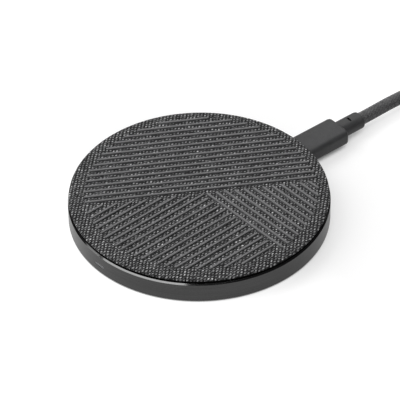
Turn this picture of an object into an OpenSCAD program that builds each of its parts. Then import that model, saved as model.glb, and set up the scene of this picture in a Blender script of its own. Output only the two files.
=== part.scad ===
// Wireless charging pad: a round fabric-topped desk pad with raised grip ribs,
// a metal side ring and a removable USB-C lead. Millimetres, Z up.
// The origin is the middle of the pad's underside and +Y points at the lead.

/* [Pad] */
// Outer diameter of the metal side ring
pad_d = 98; // [94:0.5:101]
// Height of the ring's upright wall
ring_wall_h = 7.55; // [7.4:0.05:8]
// Bevel on the ring's upper edge
ring_bevel = 0.5; // [0.3:0.05:0.8]
// How far the rubber foot stands proud of the ring
foot_h = 0.4; // [0.3:0.1:0.6]
// Height of the dark shadow gap between ring and fabric
gap_h = 1; // [0.6:0.1:1.1]
// Thickness of the fabric layer at its rolled edge
fabric_t = 0.8; // [0.7:0.1:1.1]
// How far the rolled fabric edge stays inside the ring's outer face
fabric_inset = 0.15; // [0:0.05:0.8]
// How much higher the fabric lies at the middle than at its edge
fabric_crown = 0.2; // [0.1:0.05:0.4]

/* [Grip ribs] */
// Distance between neighbouring ribs
rib_pitch = 2.97; // [2.6:0.01:3.4]
// Width of one rib
rib_w = 1; // [0.8:0.05:1.4]
// Height of the ribs above the fabric
rib_h = 0.6; // [0.2:0.05:0.8]
// Plain border between the ribs' ends and the pad's edge
rib_border = 5.2; // [4.6:0.1:8]
// How far the circle that the ribs fill lies from the pad's middle, toward the lead
field_shift = 1.1; // [0:0.1:1.4]
// Distance from the pad's middle to the first rib of the large field
rib_start = 1.65; // [1.2:0.05:2.5]
// Plain strip between the large field's first rib and the other fields' ends
rib_strip = 2.5; // [1.6:0.1:4]
// Direction of the ribs in the large field, from +X
large_field_angle = 60.2; // [55:0.1:65]
// Direction of the ribs in the field beside the lead's line, from +X
second_field_angle = 92.7; // [88:0.1:97]

/* [Port and lamp] */
// Height of the USB-C socket's middle line above the table
port_z = 4.7; // [4.5:0.1:4.9]
// Height of the status lamp's window above the table
lamp_z = 3.8; // [3.6:0.1:4]
// Angle of the lamp's window from +X
lamp_angle = -87.2; // [-100:0.2:-80]
// Length of the lamp's window along the ring
lamp_w = 5; // [3:0.5:6]
// Height of the lamp's window
lamp_h = 1; // [0.8:0.1:1.2]

/* [Charging coil] */
// Turns of the transmitting coil
coil_turns = 10; // [6:1:12]
// Outer radius of the transmitting coil
coil_r = 22; // [20:0.5:24]
// Inner radius of the transmitting coil
coil_bore_r = 10.2; // [8:0.2:12]

/* [Lead] */
// Width of the USB-C plug's moulded grip
plug_w = 12.3; // [11.5:0.1:12.5]
// Thickness of the USB-C plug's moulded grip
plug_h = 6.4; // [6:0.1:6.5]
// Length of the USB-C plug's moulded grip
plug_l = 19.7; // [18:0.1:20.5]
// Width of the strain relief
relief_w = 7.4; // [7:0.1:8]
// Thickness of the strain relief
relief_h = 5.8; // [5.2:0.1:6]
// Length of the strain relief
relief_l = 10.4; // [9.6:0.1:12]

/* [Hidden] */
$fn = 96;
eps = 0.01;
// How far a cutter reaches past the face that it cuts
over = 1;

// ---- levels, from the table up ----
ring_r = pad_d / 2;
ring_z = foot_h;
wall_top_z = ring_z + ring_wall_h;
ring_top_z = wall_top_z + ring_bevel;
fabric_z = ring_top_z + gap_h;
fabric_edge_z = fabric_z + fabric_t;
fabric_top_z = fabric_edge_z + fabric_crown;

// ---- side ring ----
ring_foot_bevel = 0.3;
ring_in_r = ring_r - 2.1;
ring_lip_r = ring_r - ring_bevel - 0.1;
ring_shelf_z = wall_top_z - 0.5;
ring_rebate_r = ring_in_r + 0.8;
ring_rebate_h = 1 - ring_z;

// ---- base cover and foot ----
cover_r = ring_in_r - 0.1;
cover_wall = 1.2;
port_reach = 6;
cover_floor_z = ring_z + ring_rebate_h;
cover_floor_t = 1;
foot_r = cover_r - 0.8;
foot_groove_r = foot_r - 3;
foot_groove_d = 0.3;
inner_z = cover_floor_z + cover_floor_t;

// ---- top plate ----
plate_r = ring_lip_r - 0.05;
plate_under_z = ring_shelf_z + 0.2;
plate_top_z = fabric_z + 0.4;
fabric_r = ring_r - fabric_inset;
fabric_round = fabric_t / 2;
rib_field_r = ring_r - rib_border;
fabric_flat_r = rib_field_r + field_shift + 0.4;

// ---- screws that join the top plate to the base cover ----
screw_n = 4;
screw_pcr = cover_r - cover_wall - 5.1;
screw_first = 45;
screw_head_r = 1.9;
screw_head_h = 1.1;
screw_cross_d = 0.6;
screw_shank_r = 0.9;
screw_shank_l = 4.2;
boss_r = 2.6;
boss_h = 1.1;
boss_split_z = inner_z + boss_h;
pilot_l = 4.4;

// ---- socket (USB Type-C receptacle) ----
socket_w = 8.94;
socket_h = 3.16;
socket_in_w = 8.34;
socket_in_h = 2.56;
socket_mouth_y = ring_r - 0.35;
socket_l = 7.6;
socket_depth = 6.9;
tongue_w = 6.69;
tongue_h = 0.7;
tongue_l = 4.9;
port_clear = 0.25;
pipe_inset = 0.08;

// ---- circuit board, which lies just under the socket ----
board_t = 0.8;
board_z = port_z - socket_h / 2 - board_t;
board_top_z = board_z + board_t;
board_in_r = 29.6;
board_out_r = cover_r - cover_wall - 0.5;
board_mid_r = (board_in_r + board_out_r) / 2;
board_ledge_r = board_out_r - 2.1;
board_ledge_w = 1.6;

// ---- stack in the middle: weight, tray, ferrite, coil, foam ----
weight_r = 27.4;
weight_h = 2;
weight_rim_r = weight_r + 0.2;
weight_rim_w = 1;
weight_rim_h = 1;
tray_r = 28;
tray_wall = 0.9;
tray_t = 0.6;
tray_z = inner_z + weight_h;
ferrite_r = tray_r - tray_wall - 0.3;
ferrite_z = tray_z + tray_t;
ferrite_t = 1.2;
winding_z = ferrite_z + ferrite_t;
winding_h = 1.4;
wire_slot_w = 3;
wire_r = 0.45;
lead_land_y = 31.5;
tray_notch_w = 8;
tray_notch_l = 4;

// ---- plug (USB Type-C) ----
plug_gap = 0.3;
plug_y = ring_r + plug_gap;
shell_w = 8.25;
shell_h = 2.4;
shell_wall = 0.28;
shell_reach = 6.65;
shell_root = 2.6;
insert_slot_w = 7;
insert_slot_h = 0.95;
plug_edge = 2;
plug_corner = 1.2;
relief_y = plug_y + plug_l;
cord_y = relief_y + relief_l;
relief_slot_y = 4.7;
relief_slot_l = 0.9;
relief_slot_w = 2.2;
relief_slot_d = 0.9;
relief_round = 1.2;
relief_narrow = 1.4;
relief_flatten = 0.5;
relief_steps = 3;

// ---- braided cord, wound up and put away behind the lead ----
cord_d = 5.1;
tie_t = 0.6;
turn_cols = 3;
turn_rows = 4;
coil_mid_r = 5.5 * cord_d;
coil_half_w = turn_cols * cord_d / 2;
wound_h = turn_rows * cord_d;
wound_x = coil_mid_r + cord_d;
wound_y = 130;
tie_w = 10;
tie_clear = 0.8;
cord_sides = 10;

// ---- far plug (USB Type-A), lying beside the coil ----
far_x = 77;
far_y = 126;
far_w = 15.7;
far_h = 7.8;
far_l = 22;
far_relief_l = 9;
far_z = far_h / 2;
far_shell_w = 12;
far_shell_h = 4.5;
far_shell_l = 12;
far_shell_wall = 0.3;
far_tongue_h = 1.84;

// Middle line of the cord from the strain relief down onto the table and into the coil
RUN = [[0, cord_y, port_z], [0, 84, 4.7], [0, 88, 4.8], [0, 92, 4.9], [0, 96, 4.9],
       [0, 100, 4.8], [0, 104, 4.6], [0, 108, 4.3], [0, 112, 4], [0, 116, 3.7],
       [0, 120, 3.4], [0, 125, 3.1], [0, 130, 3]];
// Middle line of the cord from the coil's top row down to the far plug
TAIL = [[wound_x, wound_y + coil_mid_r + cord_d, tie_t + wound_h - cord_d / 2],
        [40.4, 162.9, 18.4], [47.8, 162.1, 17.7], [54.7, 160.2, 16], [61.1, 157.2, 13.5],
        [66.7, 153.2, 10.6], [71.2, 148.3, 7.9], [74.4, 142.8, 5.9], [76.3, 136.9, 4.6],
        [77, 131.2, 3.9], [77, 126, 3.9]];

// ---- 2D helpers ----

// A slot outline, w by h, with round ends
module stadium(w, h) {
    square([w - h, h], center = true);
    for (s = [-1, 1]) translate([s * (w - h) / 2, 0]) circle(d = h);
}

// A rectangle, w by h, with corners of radius r
module rounded_rect(w, h, r) {
    square([w - 2 * r, h], center = true);
    square([w, h - 2 * r], center = true);
    for (sx = [-1, 1], sy = [-1, 1])
        translate([sx * (w / 2 - r), sy * (h / 2 - r)]) circle(r = r, $fn = 32);
}

// Points of an arc in the XY plane, steps + 1 of them
function arc(cx, cy, r, a0, a1, steps = 8) =
    [for (i = [0:steps]) [cx + r * cos(a0 + (a1 - a0) * i / steps),
                          cy + r * sin(a0 + (a1 - a0) * i / steps)]];

// Stands a 2D shape up across the Y axis and draws it from y to y + l at height z
module along_y(y, l, z = port_z, x = 0) {
    translate([x, y + l, z]) rotate([90, 0, 0]) linear_extrude(l) children();
}

// Repeats the children at n places on a circle of radius r
module around(n, r, first = 0) {
    for (i = [0:n - 1]) rotate(first + i * 360 / n) translate([r, 0, 0]) children();
}

// ---- top ----

// Woven cover: a flat disc whose rolled edge wraps the top plate's rim
module fabric_cover() {
    mid_r = fabric_r - fabric_round;
    mid_z = fabric_z + fabric_round;
    color("#4c4d4f")
    rotate_extrude()
        polygon(concat([[0, plate_top_z], [plate_r, plate_top_z], [plate_r, fabric_z]],
                       arc(mid_r, mid_z, fabric_round, -90, 90),
                       [[fabric_flat_r, fabric_top_z], [0, fabric_top_z]]));
}

// Where a rib at distance d, turned by a degrees, meets the circle that the ribs fill, on one side
function field_stop(d, a, side) =
    let (off = d - field_shift * cos(a))
    field_shift * sin(a) + side * sqrt(max(rib_field_r * rib_field_r - off * off, 0));

// One straight rib with round ends, from a to b along X at distance d
module rib(a, b, d) {
    if (b - a > 1.5 * rib_w)
        translate([a + rib_w / 2, d, fabric_top_z]) linear_extrude(rib_h) {
            translate([0, -rib_w / 2]) square([b - a - rib_w, rib_w]);
            circle(d = rib_w, $fn = 24);
            translate([b - a - rib_w, 0]) circle(d = rib_w, $fn = 24);
        }
}

// Where a rib at distance d, turned by a degrees from the large field, meets the strip beside it
function strip_stop(d, a) = (rib_start - rib_strip - d * cos(a)) / sin(a);

// Three fields of parallel ribs that meet in the middle of the pad
module grip_ribs() {
    large_n = floor((rib_field_r - rib_start) / rib_pitch);
    turn = second_field_angle - large_field_angle;
    third_turn = turn - 90;
    second_n = [-14:6];
    second_phase = 0.34;
    second_end = 0.4;
    third_start = 1.8;
    color("#6f7072") {
        rotate(large_field_angle)
            for (i = [0:large_n]) {
                d = rib_start + i * rib_pitch;
                rib(field_stop(d, large_field_angle, -1), field_stop(d, large_field_angle, 1), d);
            }
        rotate(second_field_angle)
            for (i = second_n) {
                d = (i + second_phase) * rib_pitch;
                rib(field_stop(d, second_field_angle, -1), min(second_end, strip_stop(d, turn)), d);
            }
        rotate(second_field_angle - 90)
            for (i = [0:large_n]) {
                d = third_start + i * rib_pitch;
                rib(strip_stop(d, third_turn), field_stop(d, second_field_angle - 90, 1), d);
            }
    }
}

// Moulded plate under the fabric, with its dark rim and the screw bosses
module top_plate() {
    color("#1b1b1d")
    difference() {
        union() {
            rotate_extrude()
                polygon([[0, plate_under_z], [cover_r - cover_wall - 0.2, plate_under_z],
                         [cover_r - cover_wall - 0.2, ring_shelf_z], [plate_r, ring_shelf_z],
                         [plate_r, plate_top_z], [0, plate_top_z]]);
            around(screw_n, screw_pcr, screw_first)
                translate([0, 0, boss_split_z]) cylinder(r = boss_r, h = plate_under_z - boss_split_z + eps);
        }
        around(screw_n, screw_pcr, screw_first)
            translate([0, 0, boss_split_z - eps]) cylinder(r = screw_shank_r + 0.05, h = pilot_l);
    }
}

// ---- ring and base ----

// Machined ring: bevelled upper edge, shelf for the top plate, rebate for the cover's flange
module side_ring() {
    color("#5b5d60")
    difference() {
        rotate_extrude($fn = 180)
            polygon([[ring_in_r, ring_z + ring_rebate_h], [ring_rebate_r, ring_z + ring_rebate_h],
                     [ring_rebate_r, ring_z], [ring_r - ring_foot_bevel, ring_z],
                     [ring_r, ring_z + ring_foot_bevel], [ring_r, wall_top_z],
                     [ring_r - ring_bevel, ring_top_z], [ring_lip_r, ring_top_z],
                     [ring_lip_r, ring_shelf_z], [ring_in_r, ring_shelf_z]]);
        port_cut(port_clear);
        lamp_cut(0.05);
    }
}

// Way through the ring and the cover's wall for the socket
module port_cut(clear) {
    along_y(ring_r - port_reach, port_reach + over) stadium(socket_w + 2 * clear, socket_h + 2 * clear);
}

// Way through the ring and the cover's wall for the lamp's light pipe
module lamp_cut(clear) {
    rotate(lamp_angle - 90)
        along_y(ring_r - port_reach, port_reach + over, lamp_z)
            stadium(lamp_w + 2 * clear, lamp_h + 2 * clear);
}

// Pan under the works: flange below the ring, floor, wall, bosses and ledges
module base_cover() {
    wall_in_r = cover_r - cover_wall;
    color("#202022")
    difference() {
        union() {
            rotate_extrude()
                polygon([[0, cover_floor_z], [foot_r + 0.1, cover_floor_z], [foot_r + 0.1, ring_z],
                         [ring_rebate_r - 0.1, ring_z], [ring_rebate_r - 0.1, cover_floor_z],
                         [cover_r, cover_floor_z], [cover_r, ring_shelf_z - 0.05],
                         [wall_in_r, ring_shelf_z - 0.05], [wall_in_r, inner_z], [0, inner_z]]);
            difference() {
                translate([0, 0, inner_z - eps])
                    cylinder(r = board_ledge_r + board_ledge_w / 2, h = board_z - inner_z + eps);
                translate([0, 0, inner_z - over])
                    cylinder(r = board_ledge_r - board_ledge_w / 2, h = board_z - inner_z + 2 * over);
            }
            difference() {
                translate([0, 0, inner_z - eps])
                    cylinder(r = weight_rim_r + weight_rim_w, h = weight_rim_h + eps);
                translate([0, 0, inner_z - over]) cylinder(r = weight_rim_r, h = weight_rim_h + 2 * over);
            }
            around(screw_n, screw_pcr, screw_first)
                translate([0, 0, inner_z - eps]) cylinder(r = boss_r, h = boss_h + eps);
        }
        around(screw_n, screw_pcr, screw_first) {
            translate([0, 0, cover_floor_z - eps])
                cylinder(r = screw_head_r + 0.2, h = screw_head_h + 0.1 + eps);
            translate([0, 0, cover_floor_z])
                cylinder(r = screw_shank_r + 0.2, h = cover_floor_t + boss_h + over);
        }
        port_cut(0.1);
        lamp_cut(0);
    }
}

// Silicone foot: a bevelled disc bonded into the cover's recess, with one ring groove
module base_pad() {
    bevel = 0.25;
    color("#2a2a2c")
    rotate_extrude()
        polygon([[0, 0], [foot_groove_r - 0.5, 0], [foot_groove_r, foot_groove_d],
                 [foot_groove_r + 0.5, 0], [foot_r - bevel, 0], [foot_r, bevel],
                 [foot_r, cover_floor_z], [0, cover_floor_z]]);
}

// Screws from below, hidden by the foot
module case_screws() {
    seat_z = cover_floor_z + screw_head_h + 0.1;
    color("#b9bbbd")
    around(screw_n, screw_pcr, screw_first)
        difference() {
            union() {
                translate([0, 0, seat_z - screw_head_h]) cylinder(r = screw_head_r, h = screw_head_h);
                translate([0, 0, seat_z - eps]) cylinder(r = screw_shank_r, h = screw_shank_l);
            }
            translate([0, 0, seat_z - screw_head_h - eps])
                linear_extrude(screw_cross_d) for (a = [0, 90]) rotate(a) square([2, 0.5], center = true);
        }
}

// Steel disc that keeps the pad on the desk
module base_weight() {
    bevel = 0.4;
    color("#8d9093")
    rotate_extrude()
        polygon([[0, inner_z], [weight_r - bevel, inner_z], [weight_r, inner_z + bevel],
                 [weight_r, inner_z + weight_h - bevel], [weight_r - bevel, inner_z + weight_h],
                 [0, inner_z + weight_h]]);
}

// ---- charging stack ----

// Shallow dish that centres the ferrite, with a gap in its wall for the wires
module coil_tray() {
    color("#303236")
    difference() {
        translate([0, 0, tray_z]) cylinder(r = tray_r, h = plate_under_z - 0.1 - tray_z);
        translate([0, 0, tray_z + tray_t]) cylinder(r = tray_r - tray_wall, h = plate_under_z);
        translate([-tray_notch_w / 2, tray_r - tray_notch_l, tray_z + tray_t])
            cube([tray_notch_w, tray_notch_l + over, plate_under_z]);
    }
}

// Ferrite disc with a slot in which the wires run out from the middle
module ferrite_shield() {
    color("#3b3a3c")
    difference() {
        translate([0, 0, ferrite_z]) cylinder(r = ferrite_r, h = ferrite_t);
        translate([-wire_slot_w / 2, -wire_slot_w / 2, ferrite_z - over])
            cube([wire_slot_w, ferrite_r + wire_slot_w / 2 + over, ferrite_t + 2 * over]);
    }
}

// Flat spiral of litz wire, one band that winds outwards
module charging_coil() {
    steps = 30;
    pitch = (coil_r - coil_bore_r) / coil_turns;
    band = pitch - 0.16;
    last = (coil_turns - 1) * steps;
    function spiral(i, w) =
        let (a = 90 + 360 * i / steps, r = coil_bore_r + pitch * i / steps + w) [r * cos(a), r * sin(a)];
    color("#b3672f")
    translate([0, 0, winding_z]) linear_extrude(winding_h)
        polygon(concat([for (i = [0:last]) spiral(i, 0)], [for (i = [last:-1:0]) spiral(i, band)]));
}

// The coil's two ends, led over the tray's edge and down onto the board
module coil_leads() {
    inner_x = -0.9;
    outer_x = 2.6;
    low_z = ferrite_z + wire_r + 0.1;
    high_z = winding_z + winding_h / 2;
    coil_end_y = coil_r - 0.33;
    color("#c4753a") {
        translate([inner_x, coil_bore_r + 0.5, low_z]) cylinder(r = wire_r, h = winding_z - low_z, $fn = 24);
        along_y(coil_bore_r + 0.05, lead_land_y - coil_bore_r + wire_r, low_z, inner_x)
            circle(r = wire_r, $fn = 24);
        translate([inner_x, lead_land_y, board_top_z])
            cylinder(r = wire_r, h = low_z - board_top_z, $fn = 24);
        along_y(coil_end_y, lead_land_y - coil_end_y + wire_r, high_z, outer_x) circle(r = wire_r, $fn = 24);
        translate([outer_x, lead_land_y, board_top_z])
            cylinder(r = wire_r, h = high_z - board_top_z, $fn = 24);
    }
}

// Foam that presses the winding's stack against the top plate
module foam_pad() {
    foam_z = winding_z + winding_h;
    color("#5f6163")
    translate([0, 0, foam_z])
        difference() {
            cylinder(r = coil_r - 0.5, h = plate_under_z - foam_z);
            translate([0, 0, -over]) cylinder(r = coil_bore_r, h = plate_under_z - foam_z + 2 * over);
        }
}

// Temperature bead in the coil's middle with its two thin wires
module thermistor() {
    thin_r = 0.2;
    low_z = ferrite_z + thin_r + 0.05;
    color("#d8c48a") {
        translate([0, 0, ferrite_z + 0.6]) cylinder(r = 1.3, h = 1.6, $fn = 32);
        for (x = [0.4, 1]) {
            translate([x, 0.2, low_z]) cylinder(r = thin_r, h = 1, $fn = 16);
            along_y(0, lead_land_y + thin_r, low_z, x) circle(r = thin_r, $fn = 16);
            translate([x, lead_land_y, board_top_z]) cylinder(r = thin_r, h = low_z - board_top_z, $fn = 16);
        }
    }
}

// ---- electronics ----

// Ring-shaped board with clearance holes for the screw bosses
module circuit_board() {
    color("#1f5d3a")
    translate([0, 0, board_z])
        difference() {
            cylinder(r = board_out_r, h = board_t);
            translate([0, 0, -over]) cylinder(r = board_in_r, h = board_t + 2 * over);
            around(screw_n, screw_pcr, screw_first)
                translate([0, 0, -over]) cylinder(r = boss_r + 0.3, h = board_t + 2 * over);
        }
}

// A flat package on the board at radius r and angle a, turned to face outwards
module package(r, a, w, l, h) {
    rotate(a) translate([r - l / 2, -w / 2, board_top_z]) cube([l, w, h]);
}

// Main control chip with its leg rows
module controller_chip() {
    body = 7;
    leg = 0.35;
    chip_a = 122;
    color("#26272a") package(board_mid_r, chip_a, body, body, 1.4);
    color("#26272a")
    rotate(chip_a) translate([board_mid_r, 0, board_top_z])
        for (side = [0:3], i = [-3:3])
            rotate(side * 90) translate([body / 2 - eps, i * 0.9 - leg / 2, 0]) cube([0.9, leg, 0.3]);
}

// Four switching transistors of the coil driver
module power_switches() {
    color("#2b2c2f") for (a = [58, 66, 74]) package(board_mid_r - 2.3, a, 3.3, 3.3, 0.9);
    color("#2b2c2f") package(board_mid_r + 3.6, 72, 3.3, 3.3, 0.9);
}

// Shielded inductor of the supply stage
module power_inductor() {
    color("#4a4b4e")
    rotate(152) translate([board_mid_r, 0, board_top_z]) linear_extrude(3) rounded_rect(6.6, 6.6, 1);
}

// Resonant capacitors in series with the coil
module resonant_capacitors() {
    color("#b08a5a") for (i = [0:4]) package(board_mid_r - 1.3, 8 + i * 7, 3.2, 2.5, 2.5);
}

// Small resistors and capacitors, spread along the board
module small_passives() {
    color("#a99274")
        for (i = [0:17]) package(board_in_r + 3.4 + 3 * (i % 3), 170 + i * 9, 0.8, 1.6, 0.7);
}

// Socket's steel shell, open at the mouth and closed at the back by the tongue's block
module usb_socket() {
    color("#c6c8ca")
    difference() {
        along_y(socket_mouth_y - socket_l, socket_l) stadium(socket_w, socket_h);
        along_y(socket_mouth_y - socket_l - over, socket_l + 2 * over) stadium(socket_in_w, socket_in_h);
    }
}

// Socket's insulator: the block that fills the back and the thin tongue
module socket_tongue() {
    back_y = socket_mouth_y - socket_depth;
    back_l = socket_l - socket_depth;
    color("#17181a") {
        along_y(back_y - back_l, back_l) stadium(socket_in_w, socket_in_h);
        along_y(back_y - eps, tongue_l + eps) square([tongue_w, tongue_h], center = true);
    }
}

// Side-firing lamp at the board's edge
module status_led() {
    color("#f1efe4") package(board_out_r - 0.8, lamp_angle, 2.8, 1.2, 1.1);
}

// Clear bar that carries the lamp's light through cover and ring
module light_pipe() {
    color("#d9dde0")
    intersection() {
        rotate(lamp_angle - 90)
            along_y(board_out_r + 0.2, ring_r - board_out_r, lamp_z) stadium(lamp_w, lamp_h);
        cylinder(r = ring_r - pipe_inset, h = ring_top_z, $fn = 180);
    }
}

// ---- plug at the pad ----

// Steel mouth of the plug, a drawn tube with round sides
module plug_shell() {
    color("#b4b6b8")
    difference() {
        along_y(plug_y - shell_reach, shell_reach + shell_root) stadium(shell_w, shell_h);
        along_y(plug_y - shell_reach - over, shell_reach + shell_root + 2 * over)
            stadium(shell_w - 2 * shell_wall, shell_h - 2 * shell_wall);
    }
}

// Insulator in the plug's mouth, with the slot that the socket's tongue enters
module plug_insert() {
    front_y = plug_y - shell_reach + 0.3;
    slot_l = 5.9;
    color("#202124")
    difference() {
        along_y(front_y, shell_reach + shell_root - 0.3)
            stadium(shell_w - 2 * shell_wall, shell_h - 2 * shell_wall);
        along_y(front_y - over, slot_l + over) square([insert_slot_w, insert_slot_h], center = true);
    }
}

// Plan outline of a moulded grip: square front, rounded back corners
module grip_plan(w, l, r) {
    translate([-w / 2, 0]) square([w, l - r]);
    translate([-w / 2 + r, 0]) square([w - 2 * r, l]);
    for (s = [-1, 1]) translate([s * (w / 2 - r), l - r]) circle(r = r, $fn = 48);
}

// Moulded grip of the plug, which takes the root of the steel mouth
module plug_overmould() {
    color("#3a3b3d")
    difference() {
        intersection() {
            along_y(plug_y, plug_l) rounded_rect(plug_w, plug_h, plug_edge);
            translate([0, plug_y, 0]) linear_extrude(port_z + plug_h) grip_plan(plug_w, plug_l, plug_corner);
        }
        along_y(plug_y - over, shell_root + over) stadium(shell_w, shell_h);
    }
}

// Flexible sleeve, w by h, from y = 0 to l: rounded toward the cord, with a slot above and below
module sleeve(w, h, l) {
    difference() {
        union() {
            rotate([90, 0, 0]) translate([0, 0, -l + relief_round])
                linear_extrude(l - relief_round) stadium(w, h);
            hull()
                for (i = [0:relief_steps])
                    sleeve_slice(w, h, l, 90 * i / relief_steps);
        }
        for (s = [-1, 1])
            translate([0, relief_slot_y + relief_slot_l / 2, s * h / 2])
                cube([relief_slot_w, relief_slot_l, 2 * relief_slot_d], center = true);
    }
}

// Thin slice of a sleeve's rounded end, at angle a of the rounding
module sleeve_slice(w, h, l, a) {
    translate([0, l - relief_round * (1 - sin(a)), 0]) rotate([90, 0, 0])
        linear_extrude(eps)
            stadium(w - relief_narrow * (1 - cos(a)), h - relief_flatten * (1 - cos(a)), $fn = 32);
}

// Strain relief of the plug at the pad
module strain_relief() {
    color("#38393b") translate([0, relief_y, port_z]) sleeve(relief_w, relief_h, relief_l);
}

// ---- cord ----

function unit(v) = v / norm(v);
// Direction of the route at point i, from its neighbours
function heading(p, i) =
    unit(p[min(i + 1, len(p) - 1)] - p[max(i - 1, 0)]);
// One ring of points around the route at point i
function cord_ring(p, i) =
    let (t = heading(p, i), side = unit(cross(t, [0, 0, 1])), up = cross(side, t))
    [for (k = [0:cord_sides - 1])
        p[i] + cord_d / 2 * (cos(360 * k / cord_sides) * side + sin(360 * k / cord_sides) * up)];

// Round tube swept along a route of points
module cord_tube(p) {
    n = len(p);
    points = [for (i = [0:n - 1]) each cord_ring(p, i)];
    walls = [for (i = [0:n - 2], k = [0:cord_sides - 1])
        let (a = i * cord_sides + k, b = i * cord_sides + (k + 1) % cord_sides)
        [a, b, b + cord_sides, a + cord_sides]];
    first_cap = [for (k = [cord_sides - 1:-1:0]) k];
    last_cap = [for (k = [0:cord_sides - 1]) (n - 1) * cord_sides + k];
    polyhedron(points, concat([first_cap], walls, [last_cap]));
}

// Cord from the strain relief to the coil
module cord_run() {
    color("#47484a") cord_tube(RUN);
}

// Outer shape of the wound part of the cord
module cord_coil() {
    color("#434446")
    translate([wound_x, wound_y, tie_t])
        rotate_extrude()
            translate([coil_mid_r, wound_h / 2]) rounded_rect(2 * coil_half_w, wound_h, cord_d / 2);
}

// Cord from the coil's top row to the far plug
module cord_tail() {
    color("#47484a") cord_tube(TAIL);
}

// Strap around the coil that keeps its turns together
module cord_tie() {
    in_y = coil_mid_r - coil_half_w - tie_clear;
    out_y = coil_mid_r + coil_half_w;
    color("#1d1d1f")
    translate([wound_x - tie_w / 2, wound_y, 0])
        difference() {
            translate([0, -out_y - tie_t, 0]) cube([tie_w, out_y - in_y + 2 * tie_t, wound_h + 2 * tie_t]);
            translate([-over, -out_y, tie_t]) cube([tie_w + 2 * over, out_y - in_y, wound_h]);
        }
}

// ---- far plug ----

// Turns a plug drawn from y = 0 towards +Y so that it lies beside the coil, pointing at -Y
module at_far_plug(y) {
    translate([far_x, y, far_z]) children();
}

// Strain relief of the far plug
module far_strain_relief() {
    color("#38393b")
    at_far_plug(far_y - far_relief_l) sleeve(relief_w, relief_h, far_relief_l);
}

// Moulded grip of the far plug
module far_overmould() {
    grip_y = far_y - far_relief_l - far_l;
    color("#3a3b3d")
    difference() {
        intersection() {
            along_y(grip_y, far_l, far_z, far_x) rounded_rect(far_w, far_h, plug_edge);
            translate([far_x, grip_y, 0]) linear_extrude(far_z + far_h) grip_plan(far_w, far_l, plug_corner);
        }
        along_y(grip_y - over, shell_root + over, far_z, far_x)
            square([far_shell_w, far_shell_h], center = true);
    }
}

// Folded steel mouth of the far plug
module far_shell() {
    mouth_y = far_y - far_relief_l - far_l - far_shell_l;
    color("#b4b6b8")
    difference() {
        along_y(mouth_y, far_shell_l + shell_root, far_z, far_x)
            square([far_shell_w, far_shell_h], center = true);
        along_y(mouth_y - over, far_shell_l + shell_root + 2 * over, far_z, far_x)
            square([far_shell_w - 2 * far_shell_wall, far_shell_h - 2 * far_shell_wall], center = true);
    }
}

// Contact carrier in the far plug's mouth
module far_tongue() {
    mouth_y = far_y - far_relief_l - far_l - far_shell_l;
    in_w = far_shell_w - 2 * far_shell_wall;
    in_h = far_shell_h - 2 * far_shell_wall;
    color("#e4e4e2") {
        along_y(mouth_y + 0.5, far_shell_l + shell_root - 0.5, far_z + in_h / 2 - far_tongue_h / 2, far_x)
            square([in_w, far_tongue_h], center = true);
        along_y(mouth_y + far_shell_l - 1.5, shell_root + 1.5, far_z, far_x)
            square([in_w, in_h], center = true);
    }
}

fabric_cover();
grip_ribs();
top_plate();
side_ring();
base_cover();
base_pad();
case_screws();
base_weight();
coil_tray();
ferrite_shield();
charging_coil();
coil_leads();
foam_pad();
thermistor();
circuit_board();
controller_chip();
power_switches();
power_inductor();
resonant_capacitors();
small_passives();
usb_socket();
socket_tongue();
status_led();
light_pipe();
plug_shell();
plug_insert();
plug_overmould();
strain_relief();
cord_run();
cord_coil();
cord_tail();
cord_tie();
far_strain_relief();
far_overmould();
far_shell();
far_tongue();
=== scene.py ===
"""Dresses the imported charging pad: woven top, grip ribs, turned ring, moulded plugs and braided cord."""

import math

import bmesh
import bpy
from bpy.props import FloatProperty, FloatVectorProperty, IntProperty, PointerProperty
from mathutils import Matrix, Vector


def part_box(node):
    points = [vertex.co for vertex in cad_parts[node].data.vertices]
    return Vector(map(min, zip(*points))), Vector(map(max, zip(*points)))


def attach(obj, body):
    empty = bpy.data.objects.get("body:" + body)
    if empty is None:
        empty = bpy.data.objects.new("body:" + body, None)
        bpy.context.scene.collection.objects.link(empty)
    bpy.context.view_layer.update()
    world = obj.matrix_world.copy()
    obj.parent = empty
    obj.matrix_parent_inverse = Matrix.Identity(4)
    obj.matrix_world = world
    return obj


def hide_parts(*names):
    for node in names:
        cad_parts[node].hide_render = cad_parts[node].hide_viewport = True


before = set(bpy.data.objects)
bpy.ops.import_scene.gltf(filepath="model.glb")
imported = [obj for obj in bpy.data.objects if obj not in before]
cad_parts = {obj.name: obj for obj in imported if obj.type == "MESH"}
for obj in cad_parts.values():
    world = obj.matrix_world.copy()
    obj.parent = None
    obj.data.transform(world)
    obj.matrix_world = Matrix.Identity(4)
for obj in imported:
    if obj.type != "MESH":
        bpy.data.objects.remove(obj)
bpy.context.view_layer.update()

bl_info = {
    "name": "Charging pad",
    "version": (1, 0, 0),
    "blender": (4, 5, 0),
    "location": "3D View > Sidebar > Charging pad",
    "description": "Builds the visible pieces, finishes and studio of a round charging pad",
    "category": "Object",
}

MM = 0.001
WELD = 1e-6                       # points closer than this are one point
# The plugs' grips, in mm: the round of their long corners, of their back in plan, and of their front edge
GRIP_CORNER, GRIP_PLAN_ROUND, GRIP_FRONT = 2.0, 1.2, 0.25
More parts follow.
